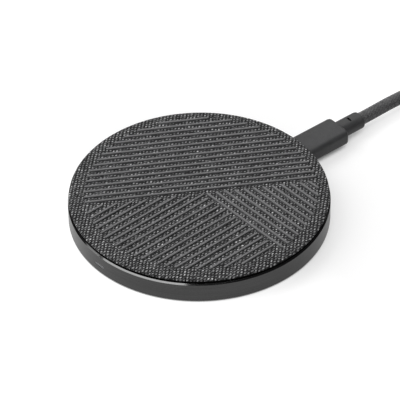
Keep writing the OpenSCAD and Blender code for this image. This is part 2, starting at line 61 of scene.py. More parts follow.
# The strain reliefs: over what length the cord's end rounds off, and how far it draws in there
SLEEVE_ROUND, SLEEVE_NARROW, SLEEVE_FLATTEN = 1.0 * MM, 0.5 * MM, 0.1 * MM
SLEEVE_SLOT = (2.2 * MM, 0.9 * MM, 0.9 * MM)
SLEEVE_SLOT_PLACE = 5.15 * MM     # from the grip to the slot's middle
BRAID_TWINE = 14                  # strands that run each way round the cord
BRAID_PITCH_MM = 1.9              # length of cord in which two strands cross once
RING_LOW, RING_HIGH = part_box("side_ring")
FABRIC_LOW, FABRIC_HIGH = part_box("fabric_cover")
RIB_LOW, RIB_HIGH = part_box("grip_ribs")
PLATE_LOW, PLATE_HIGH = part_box("top_plate")
GRIP_LOW, GRIP_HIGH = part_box("plug_overmould")
SLEEVE_LOW, SLEEVE_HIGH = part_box("strain_relief")
FAR_GRIP_LOW, FAR_GRIP_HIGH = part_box("far_overmould")
FAR_SLEEVE_LOW, FAR_SLEEVE_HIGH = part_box("far_strain_relief")
PIPE_LOW, PIPE_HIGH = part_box("light_pipe")
PORT_Z = (GRIP_LOW[2] + GRIP_HIGH[2]) / 2


# ---- colours and nodes ----

def linear(code):
    """A #rrggbb sRGB colour as linear (r, g, b, 1)."""
    parts = [int(code[i:i + 2], 16) / 255 for i in (1, 3, 5)]
    return tuple(c / 12.92 if c <= 0.04045 else ((c + 0.055) / 1.055) ** 2.4 for c in parts) + (1.0,)


def add(tree, kind, inputs=None, stops=(), to=None, **settings):
    """Adds a node with its settings and links, and returns it.

    inputs gives each socket, by name or number, a value, an output, or a node, whose first output is meant.
    A sum such as ("ADD", a, b) is a Math node, as the kind or as an input, and its parts may be sums too.
    stops are a colour ramp's (place, colour), and to is the socket that the first output goes to.
    """
    if isinstance(kind, tuple):
        kind, inputs, settings = "ShaderNodeMath", dict(enumerate(kind[1:])), {"operation": kind[0]}
    node = tree.nodes.new(kind)
    for key, value in settings.items():
        setattr(node, key, value)
    for key, value in (inputs or {}).items():
        if isinstance(value, tuple) and isinstance(value[0], str):
            value = add(tree, value)
        if isinstance(value, bpy.types.Node):
            value = value.outputs[0]
        if isinstance(value, bpy.types.NodeSocket):
            tree.links.new(value, node.inputs[key])
        else:
            node.inputs[key].default_value = value
    for number, (place, colour) in enumerate(stops):
        elements = node.color_ramp.elements
        element = elements[number] if number < len(elements) else elements.new(place)
        element.position = place
        element.color = linear(colour) if isinstance(colour, str) else colour
    if to is not None:
        tree.links.new(node.outputs[0], to)
    return node


def new_material(name, roughness, metallic=0.0, **sockets):
    """An empty material with its shader: (material, tree, shader)."""
    material = bpy.data.materials.new(name)
    material.use_nodes = True
    tree = material.node_tree
    shader = tree.nodes["Principled BSDF"]
    shader.inputs["Roughness"].default_value = roughness
    shader.inputs["Metallic"].default_value = metallic
    for key, value in sockets.items():
        shader.inputs[key.replace("_", " ")].default_value = value
    return material, tree, shader


def object_point(tree, turn=0.0, stretch=(1.0, 1.0, 1.0)):
    """Object coordinates in metres, turned about Z and stretched."""
    source = add(tree, "ShaderNodeTexCoord").outputs["Object"]
    return add(tree, "ShaderNodeMapping", {"Vector": source, "Rotation": (0, 0, turn), "Scale": stretch})


def grained(name, dark, light, grain_mm, depth_mm, roughness, metallic=0.0, stretch=(1, 1, 1), spread=0.08,
            **sockets):
    """A finish with one grain: colour, gloss and relief all vary with noise of a real size."""
    material, tree, shader = new_material(name, roughness, metallic, **sockets)
    point = object_point(tree, 0.0, stretch)
    fine = 1 / (grain_mm * MM)
    grain = add(tree, "ShaderNodeTexNoise", {"Vector": point, "Scale": fine, "Detail": 3.0})
    cloud = add(tree, "ShaderNodeTexNoise", {"Vector": point, "Scale": fine / 12, "Detail": 2.0})
    both = add(tree, ("MULTIPLY_ADD", grain, 0.6, ("MULTIPLY", cloud, 0.4)))
    add(tree, "ShaderNodeValToRGB", {"Fac": both}, stops=((0.3, dark), (0.7, light)),
        to=shader.inputs["Base Color"])
    add(tree, "ShaderNodeMapRange", {
        "Value": both, "From Min": 0.3, "From Max": 0.7, "To Min": max(roughness - spread, 0.02),
        "To Max": roughness + spread}, to=shader.inputs["Roughness"])
    add(tree, "ShaderNodeBump", {"Height": grain, "Distance": depth_mm * MM}, to=shader.inputs["Normal"])
    return material


# ---- finishes seen in use ----

# The weave: how it is turned on the pad, how far apart its columns and the floats in one lie, and how far the
# yarn wanders. Single threads are too fine to show, so each float stands for a few of them.
WEAVE_TURN = math.radians(-46.7)
COLUMN_PITCH, FLOAT_PITCH = 1.27 * MM, 1.35 * MM
YARN_WANDER = (0.6 * MM, 1.3 * MM, 0.0)
# How much higher or lower a column starts and how far a float leans, in pitches, and how narrow its crown is
COLUMN_STEP, FLOAT_LEAN, CROWN_POWER = 0.25, 0.25, 3.4
# Heather: how the yarn's dyed fibres spread from dark to light
WARP_TONES = ((0.0, "#848485"), (0.35, "#a9a9aa"), (0.8, "#bbbbbc"), (1.0, "#dededf"))
WEFT_TONES = ((0.0, "#262627"), (0.6, "#484849"), (1.0, "#6c6c6d"))
GAP_TONE = (0.002, 0.002, 0.002)


def woven_polyester():
    """Coarse heathered weave: light warp floats in columns, and dim weft floats half a step off them, each
    float's tone darkened towards its edges as painted shade.
    """
    material, tree, shader = new_material("Woven polyester heather", 0.9, Sheen_Weight=0.03,
                                          Sheen_Roughness=0.5, Specular_IOR_Level=0.2)
    point = object_point(tree, WEAVE_TURN)
    drift = add(tree, "ShaderNodeTexNoise", {"Vector": point, "Scale": 1 / (2 * MM), "Detail": 1.0})
    wander = add(tree, "ShaderNodeVectorMath", {0: drift.outputs["Color"], 1: YARN_WANDER},
                 operation="MULTIPLY")
    bent = add(tree, "ShaderNodeVectorMath", {0: point, 1: wander}, operation="ADD")
    parts = add(tree, "ShaderNodeSeparateXYZ", {0: bent})
    along = add(tree, ("DIVIDE", parts.outputs["Y"], FLOAT_PITCH))
    across = add(tree, ("ADD", ("DIVIDE", parts.outputs["X"], COLUMN_PITCH), ("MULTIPLY", along, -0.05)))
    heights, yarns = [], []
    for shift, tones in ((0.0, WARP_TONES), (0.5, WEFT_TONES)):
        height, number = yarn_floats(tree, across, along, shift)
        tone = add(tree, "ShaderNodeValToRGB", {"Fac": number}, stops=tones)
        heights.append(height)
        # each float's tone is scaled by its height: painted shade down its sides and in the gaps
        yarns.append(add(tree, "ShaderNodeVectorMath", {0: tone, "Scale": height}, operation="SCALE"))
    both = add(tree, "ShaderNodeVectorMath", {0: yarns[0], 1: yarns[1]}, operation="ADD")
    # short fibres catch the light here and there, and the gaps between the yarns are painted nearly black as
    # shade
    fibre = add(tree, "ShaderNodeTexNoise", {"Vector": point, "Scale": 1 / (0.45 * MM), "Detail": 2.0})
    fuzz = add(tree, "ShaderNodeMapRange", {
        "Value": fibre, "From Min": 0.3, "From Max": 0.7, "To Min": 0.35, "To Max": 1.65})
    shaded = add(tree, "ShaderNodeVectorMath", {0: both, "Scale": fuzz}, operation="SCALE")
    add(tree, "ShaderNodeVectorMath", {0: shaded, 1: GAP_TONE}, operation="ADD",
        to=shader.inputs["Base Color"])
    height = ("ADD", ("ADD", heights[0], ("MULTIPLY", heights[1], 0.5)), ("MULTIPLY", fibre, 0.2))
    add(tree, "ShaderNodeBump", {"Height": height, "Distance": 0.2 * MM}, to=shader.inputs["Normal"])
    return material


def yarn_floats(tree, across, along, shift):
    """One set of yarn floats in columns: (how far up on a float, 0 to 1; the float's random number)."""
    place = add(tree, ("ADD", across, shift))
    column = add(tree, ("FLOOR", place))
    seed = add(tree, "ShaderNodeTexWhiteNoise", {"W": ("ADD", column, shift)}, noise_dimensions="1D")
    climb = add(tree, ("ADD", ("ADD", along, shift), ("MULTIPLY", seed, COLUMN_STEP)))
    row = add(tree, ("FLOOR", climb))
    part = add(tree, ("SUBTRACT", climb, row))
    # each float leans a little across its column, and narrows to both ends
    leaned = ("ADD", place, ("MULTIPLY", ("SUBTRACT", 0.5, part), FLOAT_LEAN))
    ridge = ("POWER", ("ABSOLUTE", ("SINE", ("MULTIPLY", leaned, math.pi))), CROWN_POWER)
    crest = ("POWER", ("SINE", ("MULTIPLY", part, math.pi)), 2.0)
    cell = add(tree, "ShaderNodeCombineXYZ", {0: column, 1: row, 2: shift})
    number = add(tree, "ShaderNodeTexWhiteNoise", {"Vector": cell}, noise_dimensions="3D")
    return add(tree, ("MULTIPLY", ridge, crest)), number


def braided_polyester():
    """Tight tubular braid: flat strands cross in small diamonds, each painted a little lighter on its crown
    and darker towards its edges as painted shade.
    """
    material, tree, shader = new_material("Braided polyester sleeve", 0.82, Sheen_Weight=0.7,
                                          Sheen_Roughness=0.4)
    # U is the length in mm and V the turn round the cord
    parts = add(tree, "ShaderNodeSeparateXYZ", {0: add(tree, "ShaderNodeUVMap", uv_map="UVMap")})
    lengthwise = add(tree, ("MULTIPLY", parts.outputs["X"], 1 / BRAID_PITCH_MM))
    roundabout = add(tree, ("MULTIPLY", parts.outputs["Y"], float(BRAID_TWINE)))
    right = add(tree, ("ADD", lengthwise, roundabout))
    left = add(tree, ("SUBTRACT", lengthwise, roundabout))
    over = ("PINGPONG", ("ADD", ("FLOOR", right), ("FLOOR", left)), 1.0)
    crowns = [("ABSOLUTE", ("SINE", ("MULTIPLY", lane, math.pi))) for lane in (right, left)]
    crown = add(tree, "ShaderNodeMix", {"Factor": over, "A": crowns[0], "B": crowns[1]}, data_type="FLOAT")
    cell = add(tree, "ShaderNodeCombineXYZ", {0: ("FLOOR", right), 1: ("FLOOR", left)})
    strand = add(tree, "ShaderNodeTexWhiteNoise", {"Vector": cell}, noise_dimensions="2D")
    # the crown lifts the tone: painted highlight on each strand's crown, painted shade at its edges
    add(tree, "ShaderNodeValToRGB", {"Fac": ("ADD", ("MULTIPLY", crown, 0.65), ("MULTIPLY", strand, 0.35))},
        stops=((0.15, "#3c3c3d"), (0.55, "#585859"), (0.95, "#727273")), to=shader.inputs["Base Color"])
    add(tree, "ShaderNodeBump", {"Height": crown, "Distance": 0.12 * MM}, to=shader.inputs["Normal"])
    return material


def gunmetal_ring(dark, light):
    """Bead-blasted, dark anodised aluminium: a satin wall with fine grain and faint turning lines."""
    material, tree, shader = new_material("Gunmetal anodised aluminium, satin", 0.36, 1.0)
    grit = add(tree, "ShaderNodeTexNoise", {
        "Vector": object_point(tree), "Scale": 1 / (0.35 * MM), "Detail": 2.0})
    # real turning lines are too fine to see, so these are drawn a quarter of a millimetre apart
    lines = add(tree, "ShaderNodeTexNoise", {
        "Vector": object_point(tree, 0, (40, 40, 4000)), "Scale": 1.0, "Detail": 2.0})
    shade = add(tree, ("ADD", ("MULTIPLY", grit, 0.5), ("MULTIPLY", lines, 0.5)))
    add(tree, "ShaderNodeValToRGB", {"Fac": shade}, stops=((0.3, dark), (0.7, light)),
        to=shader.inputs["Base Color"])
    add(tree, "ShaderNodeMapRange", {"Value": shade, "To Min": 0.3, "To Max": 0.44},
        to=shader.inputs["Roughness"])
    add(tree, "ShaderNodeBump", {"Height": grit, "Distance": 0.01 * MM}, to=shader.inputs["Normal"])
    return material


def polished_bevel():
    """The ring's edge, cut again after anodising: bare bright metal with hairline tool marks."""
    material, tree, shader = new_material("Diamond-cut aluminium edge", 0.12, 1.0)
    # tool marks a ninth of a millimetre apart, coarser than real ones so that they show
    lines = add(tree, "ShaderNodeTexNoise", {
        "Vector": object_point(tree, 0, (30, 30, 9000)), "Scale": 1.0, "Detail": 1.0})
    add(tree, "ShaderNodeValToRGB", {"Fac": lines}, stops=((0.3, "#909090"), (0.7, "#a7a7a7")),
        to=shader.inputs["Base Color"])
    add(tree, "ShaderNodeMapRange", {"Value": lines, "To Min": 0.08, "To Max": 0.16},
        to=shader.inputs["Roughness"])
    return material


# ---- meshes ----

def place_mesh(name, mesh):
    """An object in the scene that shows a mesh."""
    piece = bpy.data.objects.new(name, mesh)
    bpy.context.scene.collection.objects.link(piece)
    return piece


def dress(mesh, materials):
    """Gives a mesh its materials, in order."""
    mesh.materials.clear()
    for material in materials:
        mesh.materials.append(material)


def mesh_piece(name, vertices, faces, materials, smooth_angle=30.0):
    """A piece from vertices in metres, with outward faces, its seams merged and its hard edges kept hard."""
    mesh = bpy.data.meshes.new(name)
    mesh.from_pydata([tuple(v) for v in vertices], [], faces)
    dress(mesh, materials)
    clean(mesh, smooth_angle)
    return place_mesh(name, mesh)


def clean(mesh, smooth_angle=30.0, weld=WELD):
    """Merges points that lie together, points faces outwards and shades smooth up to an angle."""
    work = bmesh.new()
    work.from_mesh(mesh)
    if weld:
        bmesh.ops.remove_doubles(work, verts=work.verts, dist=weld)
    bmesh.ops.recalc_face_normals(work, faces=work.faces)
    for face in work.faces:
        face.smooth = True
    work.to_mesh(mesh)
    work.free()
    mesh.set_sharp_from_angle(angle=math.radians(smooth_angle))


def evaluated_mesh(piece):
    """The plain mesh that a piece's modifiers make of it. The modifiers are then taken off."""
    graph = bpy.context.evaluated_depsgraph_get()
    mesh = bpy.data.meshes.new_from_object(piece.evaluated_get(graph))
    piece.modifiers.clear()
    return mesh


def baked(holder, name, materials):
    """Turns a holder's Geometry Nodes result into a plain piece and removes the holder."""
    mesh = evaluated_mesh(holder)
    bpy.data.objects.remove(holder)
    mesh.name = name
    dress(mesh, materials)
    return place_mesh(name, mesh)


def set_input(modifier, label, value):
    """Sets a Geometry Nodes input, found by its label, through its identifier."""
    for item in modifier.node_group.interface.items_tree:
        if item.item_type == "SOCKET" and item.in_out == "INPUT" and item.name == label:
            modifier[item.identifier] = value
            return
    raise KeyError(label)


def node_group(name, inputs):
    """A Geometry Nodes tree with named inputs: (tree, dict of its input sockets, output node)."""
    tree = bpy.data.node_groups.new(name, "GeometryNodeTree")
    tree.interface.new_socket("Geometry", in_out="OUTPUT", socket_type="NodeSocketGeometry")
    for label, kind, value in inputs:
        socket = tree.interface.new_socket(label, in_out="INPUT", socket_type="NodeSocket" + kind)
        if value is not None:
            socket.default_value = value
    start = add(tree, "NodeGroupInput")
    return tree, {s.name: s for s in start.outputs if s.name}, add(tree, "NodeGroupOutput")


def turned_tree():
    """Turns a profile of points (radius, 0, height) about Z, one ring of faces for each of its edges."""
    tree, given, end = node_group("Turned piece", (
        ("Profile", "Geometry", None), ("Profile points", "Int", 8), ("Segments", "Int", 256),
        ("Finish", "Material", None)))
    # a flat grid: its columns are the profile's points, and its rows are the steps round the axis
    grid = add(tree, "GeometryNodeMeshGrid", {
        "Size X": 1.0, "Size Y": 1.0, "Vertices X": given["Profile points"],
        "Vertices Y": ("ADD", given["Segments"], 1.0)})
    place = add(tree, "ShaderNodeSeparateXYZ", {0: add(tree, "GeometryNodeInputPosition")})
    steps = ("SUBTRACT", given["Profile points"], 1.0)
    number = ("ROUND", ("MULTIPLY", ("ADD", place.outputs["X"], 0.5), steps))
    angle = add(tree, ("MULTIPLY", ("ADD", place.outputs["Y"], 0.5), 2 * math.pi))
    sample = add(tree, "GeometryNodeSampleIndex", {
        "Geometry": given["Profile"], "Value": add(tree, "GeometryNodeInputPosition"), "Index": number},
        data_type="FLOAT_VECTOR", domain="POINT")
    point = add(tree, "ShaderNodeSeparateXYZ", {0: sample})
    turned = add(tree, "ShaderNodeCombineXYZ", {
        0: ("MULTIPLY", point.outputs["X"], ("COSINE", angle)),
        1: ("MULTIPLY", point.outputs["X"], ("SINE", angle)),
        2: point.outputs["Z"]})
    moved = add(tree, "GeometryNodeSetPosition", {"Geometry": grid, "Position": turned})
    sealed = add(tree, "GeometryNodeMergeByDistance", {"Geometry": moved, "Distance": WELD})
    real = add(tree, "GeometryNodeRealizeInstances", {0: sealed})
    add(tree, "GeometryNodeSetMaterial", {"Geometry": real, "Material": given["Finish"]}, to=end.inputs[0])
    return tree


def turned_piece(name, profile, materials, segments=256, smooth_angle=30.0):
    """A closed piece turned from a profile of (radius, height) in millimetres."""
    mesh = bpy.data.meshes.new(name + "_profile")
    mesh.from_pydata([(r * MM, 0.0, z * MM) for r, z in profile], [], [])
    holder = place_mesh(name + "_profile", mesh)
    modifier = holder.modifiers.new("Turned", "NODES")
    modifier.node_group = bpy.data.node_groups.get("Turned piece") or turned_tree()
    set_input(modifier, "Profile points", len(profile))
    set_input(modifier, "Segments", segments)
    set_input(modifier, "Finish", materials[0])
    piece = baked(holder, name, materials)
    clean(piece.data, smooth_angle)
    return piece


def rounded(cx, cz, r, start, stop, steps=8):
    """Points of an arc in a profile, angles in degrees."""
    angles = [math.radians(start + (stop - start) * i / steps) for i in range(steps + 1)]
    return [(cx + r * math.cos(a), cz + r * math.sin(a)) for a in angles]


def loft(name, sections, materials, smooth_angle=30.0):
    """A closed skin over sections, each a list of the same number of points in metres."""
    count = len(sections[0])
    vertices = [p for section in sections for p in section]
    faces = [(a + k, a + (k + 1) % count, b + (k + 1) % count, b + k)
             for a, b in ((i * count, (i + 1) * count) for i in range(len(sections) - 1))
             for k in range(count)]
    faces.append(tuple(range(count))[::-1])
    faces.append(tuple(range((len(sections) - 1) * count, len(sections) * count)))
    return mesh_piece(name, vertices, faces, materials, smooth_angle)


def soft_rectangle(half_w, half_h, corner, steps=6):
    """Points (x, z) of a rectangle with round corners, anticlockwise."""
    corner = min(corner, half_w - 1e-5, half_h - 1e-5)
    points = []
    for quarter, (sx, sz) in enumerate(((1, 1), (-1, 1), (-1, -1), (1, -1))):
        cx, cz = sx * (half_w - corner), sz * (half_h - corner)
        for i in range(steps + 1):
            a = math.radians(90 * (quarter + i / steps))
            points.append((cx + corner * math.cos(a), cz + corner * math.sin(a)))
    return points


def moulded_grip(name, low, high, edge_round, material):
    """A moulded block along Y between two corners, its far end rounded in plan and softened all round.

    edge_round is how far the top and the bottom round down towards that end, in mm.
    """
    cx, cz = (low[0] + high[0]) / 2, (low[2] + high[2]) / 2
    half_w, half_h = (high[0] - low[0]) / 2, (high[2] - low[2]) / 2
    # each section: how far along it is, and how far it draws in at the sides and at the top, in mm
    places = [(0.0, GRIP_FRONT, GRIP_FRONT), (GRIP_FRONT * 0.3, GRIP_FRONT * 0.3, GRIP_FRONT * 0.3),
              (GRIP_FRONT, 0.0, 0.0)]
    span = (high[1] - low[1]) / MM
    for i in range(13):
        a = math.radians(90 * i / 12)
        back = GRIP_PLAN_ROUND * (1 - math.sin(a))
        inset_x = GRIP_PLAN_ROUND * (1 - math.cos(a))
        inset_z = edge_round * (1 - math.sqrt(max(0.0, 1 - max(0.0, 1 - back / edge_round) ** 2)))
        places.append((span - back, inset_x, inset_z))
    sections = []
    for y, inset_x, inset_z in places:
        outline = soft_rectangle(half_w - inset_x * MM, half_h - inset_z * MM, GRIP_CORNER * MM)
        sections.append([(cx + x, low[1] + y * MM, cz + z) for x, z in outline])
    return loft(name, sections, [material])


def sleeve(name, low, high, material, dark):
    """A strain relief along Y: an oval sleeve, rounded toward the cord, with a slot cut above and below,
    whose inner faces are painted dark as shade.
    """
    cx, cz = (low[0] + high[0]) / 2, (low[2] + high[2]) / 2
    half_w, half_h = (high[0] - low[0]) / 2, (high[2] - low[2]) / 2
    places = [(low[1], 0.0)]
    places += [(high[1] - SLEEVE_ROUND * (1 - math.sin(a)), 1 - math.cos(a))
               for a in (math.radians(90 * i / 8) for i in range(9))]
    sections = [[(cx + x, y, cz + z) for x, z in soft_rectangle(
        half_w - slim * SLEEVE_NARROW, half_h - slim * SLEEVE_FLATTEN, half_h, 10)] for y, slim in places]
    piece = loft(name, sections, [material, dark])
    slot_y = low[1] + SLEEVE_SLOT_PLACE
    width, length, depth = SLEEVE_SLOT
    for side in (1, -1):
        cut_box(piece, (cx, slot_y, cz + side * half_h), (width, length, 2 * depth))
    clean(piece.data, 35.0)
    # the slot's inner faces take the dark finish: painted shade
    for polygon in piece.data.polygons:
        x, y, z = polygon.center
        in_slot = abs(x - cx) < width / 2 + 1e-6 and abs(y - slot_y) < length / 2 + 1e-6
        polygon.material_index = 1 if in_slot and abs(z - cz) < half_h - 0.1 * MM else 0
    return piece


def cut_box(piece, centre, size, turn=0.0, rounding=0.0):
    """Cuts a box, turned about Z, out of a piece."""
    half = [s / 2 for s in size]
    outline = soft_rectangle(half[0], half[2], rounding) if rounding else [
        (half[0], half[2]), (-half[0], half[2]), (-half[0], -half[2]), (half[0], -half[2])]
    move = Matrix.Translation(centre) @ Matrix.Rotation(turn, 4, "Z")
    sections = [[move @ Vector((x, side * half[1], z)) for x, z in outline] for side in (-1, 1)]
    cutter = loft(piece.name + "_cutter", sections, [])
    modifier = piece.modifiers.new("Cut", "BOOLEAN")
    modifier.operation = "DIFFERENCE"
    modifier.solver = "EXACT"
    modifier.object = cutter
    mesh = evaluated_mesh(piece)
    bpy.data.objects.remove(cutter)
    dress(mesh, list(piece.data.materials))
    piece.data = mesh


def tube(name, path, radius, sides, material):
    """A round tube along a path of points in metres. U is the length in mm and V the turn round the tube."""
    vertices, faces, reach = [], [], [0.0]
    up = Vector((0, 0, 1))
    count = len(path)
    for i, point in enumerate(path):
        ahead = (Vector(path[min(i + 1, count - 1)]) - Vector(path[max(i - 1, 0)])).normalized()
        side = ahead.cross(up).normalized()
        up_here = side.cross(ahead)
        for k in range(sides):
            a = 2 * math.pi * k / sides
            vertices.append(Vector(point) + radius * (math.cos(a) * side + math.sin(a) * up_here))
        if i:
            reach.append(reach[-1] + (Vector(point) - Vector(path[i - 1])).length / MM)
    for i in range(count - 1):
        for k in range(sides):
            n = (k + 1) % sides
            faces.append((i * sides + k, i * sides + n, (i + 1) * sides + n, (i + 1) * sides + k))
    faces.append(tuple(range(sides)))
    faces.append(tuple(range((count - 1) * sides, count * sides)))
    mesh = bpy.data.meshes.new(name)
    mesh.from_pydata([tuple(v) for v in vertices], [], faces)
    layer = mesh.uv_layers.new(name="UVMap")
    for polygon in mesh.polygons[:-2]:
        i, k = divmod(polygon.index, sides)
        corners = ((i, k), (i, k + 1), (i + 1, k + 1), (i + 1, k))
        for loop, (row, column) in zip(polygon.loop_indices, corners):
            layer.data[loop].uv = (reach[row], column / sides)
    dress(mesh, [material])
    # unwelded, so that the seam keeps its own places on the pattern
    clean(mesh, 50.0, weld=0.0)
    return place_mesh(name, mesh)


def ride(piece, body, hides):
    """Puts a piece on a body, and hides the CAD nodes that it stands for."""
    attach(piece, body)
    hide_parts(*hides)


# ---- routes ----

# The cord's middle line in mm, as the part has it: down from the strain relief, and up to the far plug
RUN = ((0, 79.4, 4.7), (0, 84, 4.7), (0, 88, 4.8), (0, 92, 4.9), (0, 96, 4.9), (0, 100, 4.8), (0, 104, 4.6),
       (0, 108, 4.3), (0, 112, 4), (0, 116, 3.7), (0, 120, 3.4), (0, 125, 3.1))
TAIL = ((40.4, 162.9, 18.4), (47.8, 162.1, 17.7), (54.7, 160.2, 16), (61.1, 157.2, 13.5), (66.7, 153.2, 10.6),
        (71.2, 148.3, 7.9), (74.4, 142.8, 5.9), (76.3, 136.9, 4.6), (77, 131.2, 3.9), (77, 126, 3.9))
CORD_D = 5.1
COIL_CENTRE = (6.5 * CORD_D, 130.0)
COIL_RADII = (6.5 * CORD_D, 5.5 * CORD_D, 4.5 * CORD_D)
COIL_LEVELS = tuple(0.6 + CORD_D * (row + 0.5) for row in range(4))
COIL_TURNS = 11.25
# Each turn keeps its radius and then moves over to the next one: its start and its length, in turns
MOVE_START, MOVE_LENGTH = 0.68, 0.26


def coil_slots():
    """Radius and height of each turn, in the order that they are wound: in, out, in and out."""
    slots = []
    for level, z in enumerate(COIL_LEVELS):
        for r in (COIL_RADII if level % 2 == 0 else COIL_RADII[::-1]):
            slots.append((r, z))
    return slots


def smooth_route(points, step=2.0):
    """A curve through points, sampled about every step mm."""
    route = []
    points = [Vector(p) for p in points]
    for i in range(len(points) - 1):
        p0, p1 = points[max(i - 1, 0)], points[i]
        p2, p3 = points[i + 1], points[min(i + 2, len(points) - 1)]
        parts = max(1, round((p2 - p1).length / step))
        for k in range(parts):
            t = k / parts
            route.append(0.5 * ((2 * p1) + (p2 - p0) * t + (2 * p0 - 5 * p1 + 4 * p2 - p3) * t * t
                                + (3 * p1 - p0 - 3 * p2 + p3) * t ** 3))
    route.append(points[-1])
    return route


def cord_route():
    """The whole middle line, in metres: the straight run, the coil turn by turn, and the tail."""
    slots = coil_slots()
    turns = []
    steps = 40
    for i in range(int(COIL_TURNS * steps) + 1):
        t = i / steps
        slot = min(int(t), len(slots) - 1)
        share = min(max((t - slot - MOVE_START) / MOVE_LENGTH, 0.0), 1.0)
        share = share * share * (3 - 2 * share)
        (r0, z0), (r1, z1) = slots[slot], slots[min(slot + 1, len(slots) - 1)]
        r, z = r0 + (r1 - r0) * share, z0 + (z1 - z0) * share
        a = math.pi - 2 * math.pi * t
        turns.append(Vector((COIL_CENTRE[0] + r * math.cos(a), COIL_CENTRE[1] + r * math.sin(a), z)))
    run = smooth_route(RUN + (tuple(turns[0]),))[:-1]
    tail = smooth_route((tuple(turns[-1]),) + TAIL)[1:]
    return [p * MM for p in run + turns + tail]


# ---- sizes and colours that a user may change ----

class PadSizes(bpy.types.PropertyGroup):
    """Sizes of the dressed pad."""
    bevel: FloatProperty(name="Ring bevel", description="Width and height of the ring's bright bevel",
                         default=0.5 * MM, min=0.0003, max=0.0008, unit="LENGTH")
    fabric_roll: FloatProperty(name="Fabric roll", description="Radius of the fabric's rolled edge",
                               default=0.34 * MM, min=0.0003, max=0.0004, unit="LENGTH")
    rib_width: FloatProperty(name="Rib width", description="Width of a grip rib",
                             default=1.0 * MM, min=0.0008, max=0.0014, unit="LENGTH")
    rib_pitch: FloatProperty(name="Rib pitch", description="Distance between neighbouring ribs",
                             default=2.97 * MM, min=0.0026, max=0.0034, unit="LENGTH")
    rib_border: FloatProperty(name="Rib border", description="Plain border outside the ribs",
                              default=5.2 * MM, min=0.004, max=0.008, unit="LENGTH")
    field_shift: FloatProperty(name="Rib circle's shift",
                               description="How far the ribs' circle lies toward the lead",
                               default=1.1 * MM, min=0, max=0.0014, unit="LENGTH")
    large_angle: FloatProperty(name="Large field's direction",
                               description="Direction of the large field's ribs",
                               default=math.radians(60.2), subtype="ANGLE")
    second_angle: FloatProperty(name="Second field's direction",
                                description="Direction of the second field's ribs",
                                default=math.radians(92.7), subtype="ANGLE")
    segments: IntProperty(name="Segments", description="Faces round a turned piece",
                          default=256, min=64, max=512)


class CordSizes(bpy.types.PropertyGroup):
    """Sizes of the lead."""
    diameter: FloatProperty(name="Cord diameter", description="Outside diameter of the braid",
                            default=CORD_D * MM, min=0.003, max=0.006, unit="LENGTH")
    length: FloatProperty(name="Cord length", description="Length of the cord from grip to grip",
                          default=2.0, min=0.5, max=3.0, unit="LENGTH")
    sides: IntProperty(name="Sides", description="Faces round the cord", default=20, min=8, max=32)


def tone(name, description, code):
    """A colour that a user may change, from its sRGB hex."""
    return FloatVectorProperty(name=name, description=description, subtype="COLOR", size=4, min=0, max=1,
                               default=linear(code))


class PadColours(bpy.types.PropertyGroup):
    """Colours of the main finishes, each from its darkest grain to its lightest."""
    ring_dark: tone("Ring, dark", "Darkest grain of the anodised ring", "#3e3e3e")
    ring_light: tone("Ring, light", "Lightest grain of the anodised ring", "#4d4d4d")
    ribs_dark: tone("Ribs, dark", "Darkest grain of the grip ribs", "#676768")
    ribs_light: tone("Ribs, light", "Lightest grain of the grip ribs", "#777778")
    grip_dark: tone("Grip, dark", "Darkest grain of the plugs' grips", "#373738")
    grip_light: tone("Grip, light", "Lightest grain of the plugs' grips", "#4b4b4c")


# ---- operators ----

# The camera: its own directions on the floor, how steeply it looks down, its distance in metres, its lens and
# sensor in mm, and how it is tilted and turned
CAMERA_RIGHT = Vector((0.6211, 0.7837, 0.0))
CAMERA_AWAY = Vector((-0.7837, 0.6211, 0.0))
CAMERA_RISE = math.radians(40.456)
CAMERA_DISTANCE = 1.1233
CAMERA_LENS, CAMERA_SENSOR = 270.0, 36.0
CAMERA_TILT = math.atan(0.00449)
CAMERA_ROLL = math.radians(-0.886)
# Each lamp: its place as metres to the right, away and up, its width and height, its watts, and its roll in
# degrees. The two cards stand low on the left, where the ring's bevel mirrors them.
LAMPS = (
    ("Key softbox", (-1.05, 0.25, 1.3), (0.8, 1.1), 9.0, 0.0),
    ("Back softbox", (0.2, 1.2, 1.0), (0.8, 0.6), 6.0, 0.0),
    ("Front card", (-0.575, -0.38, 0.76), (1.13, 0.4), 1.85, 24.0),
    ("Side card", (-1.01, 0.13, 0.56), (0.27, 0.4), 0.21, 24.0),
    ("Top softbox", (0.0, -0.5, 1.7), (1.2, 1.2), 9.0, 0.0))
# The paper: its glow where it is dimmest, inside the painted shadow, how much more it glows elsewhere, and
# the way it brightens out of that painted shadow
PAPER_DIM, PAPER_GAIN = 0.58, 0.22
PAPER_TURN = math.radians(75.3)
PAPER_SIZE = 6.0


def studio_place(right, away, up):
    """A place in the studio, in metres to the camera's right, away from it, and up from the floor."""
    return CAMERA_RIGHT * right + CAMERA_AWAY * away + Vector((0, 0, up))


